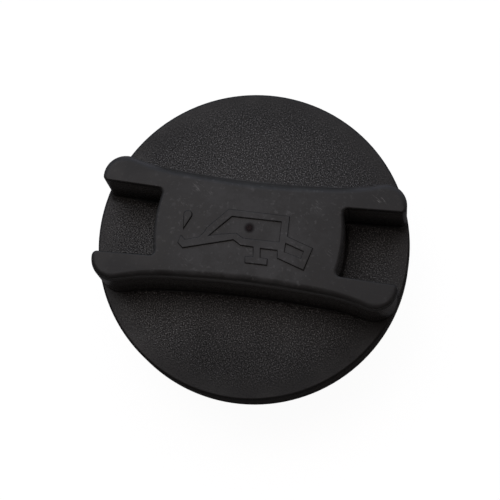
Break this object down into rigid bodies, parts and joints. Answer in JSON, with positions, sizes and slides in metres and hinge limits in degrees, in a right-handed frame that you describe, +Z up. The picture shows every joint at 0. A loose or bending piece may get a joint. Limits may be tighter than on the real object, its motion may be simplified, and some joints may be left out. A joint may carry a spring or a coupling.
{
  "type": "oil filler cap",
  "caption": "Round black plastic engine oil filler cap with a tall H-shaped finger grip, a quarter-turn bayonet plug and a rubber sealing ring.",
  "frame": {"origin": "centre of the plug's open end, on which the cap stands", "axes": "+Z up along the plug's axis through the grip, +X along the grip's long way"},
  "size_m": [0.07, 0.07, 0.0364],
  "materials": {
    "cap_plastic": "black glass-filled polyamide, fine spark-eroded grain on the disc and satin on the grip",
    "plug_plastic": "black glass-filled polyamide, satin as moulded",
    "seal_rubber": "black nitrile rubber with a faint mould bloom"
  },
  "bodies": {
    "root": {"grip_cap": "cap_plastic", "bayonet_plug": "plug_plastic", "seal_ring": "seal_rubber"}
  },
  "joints": []
}
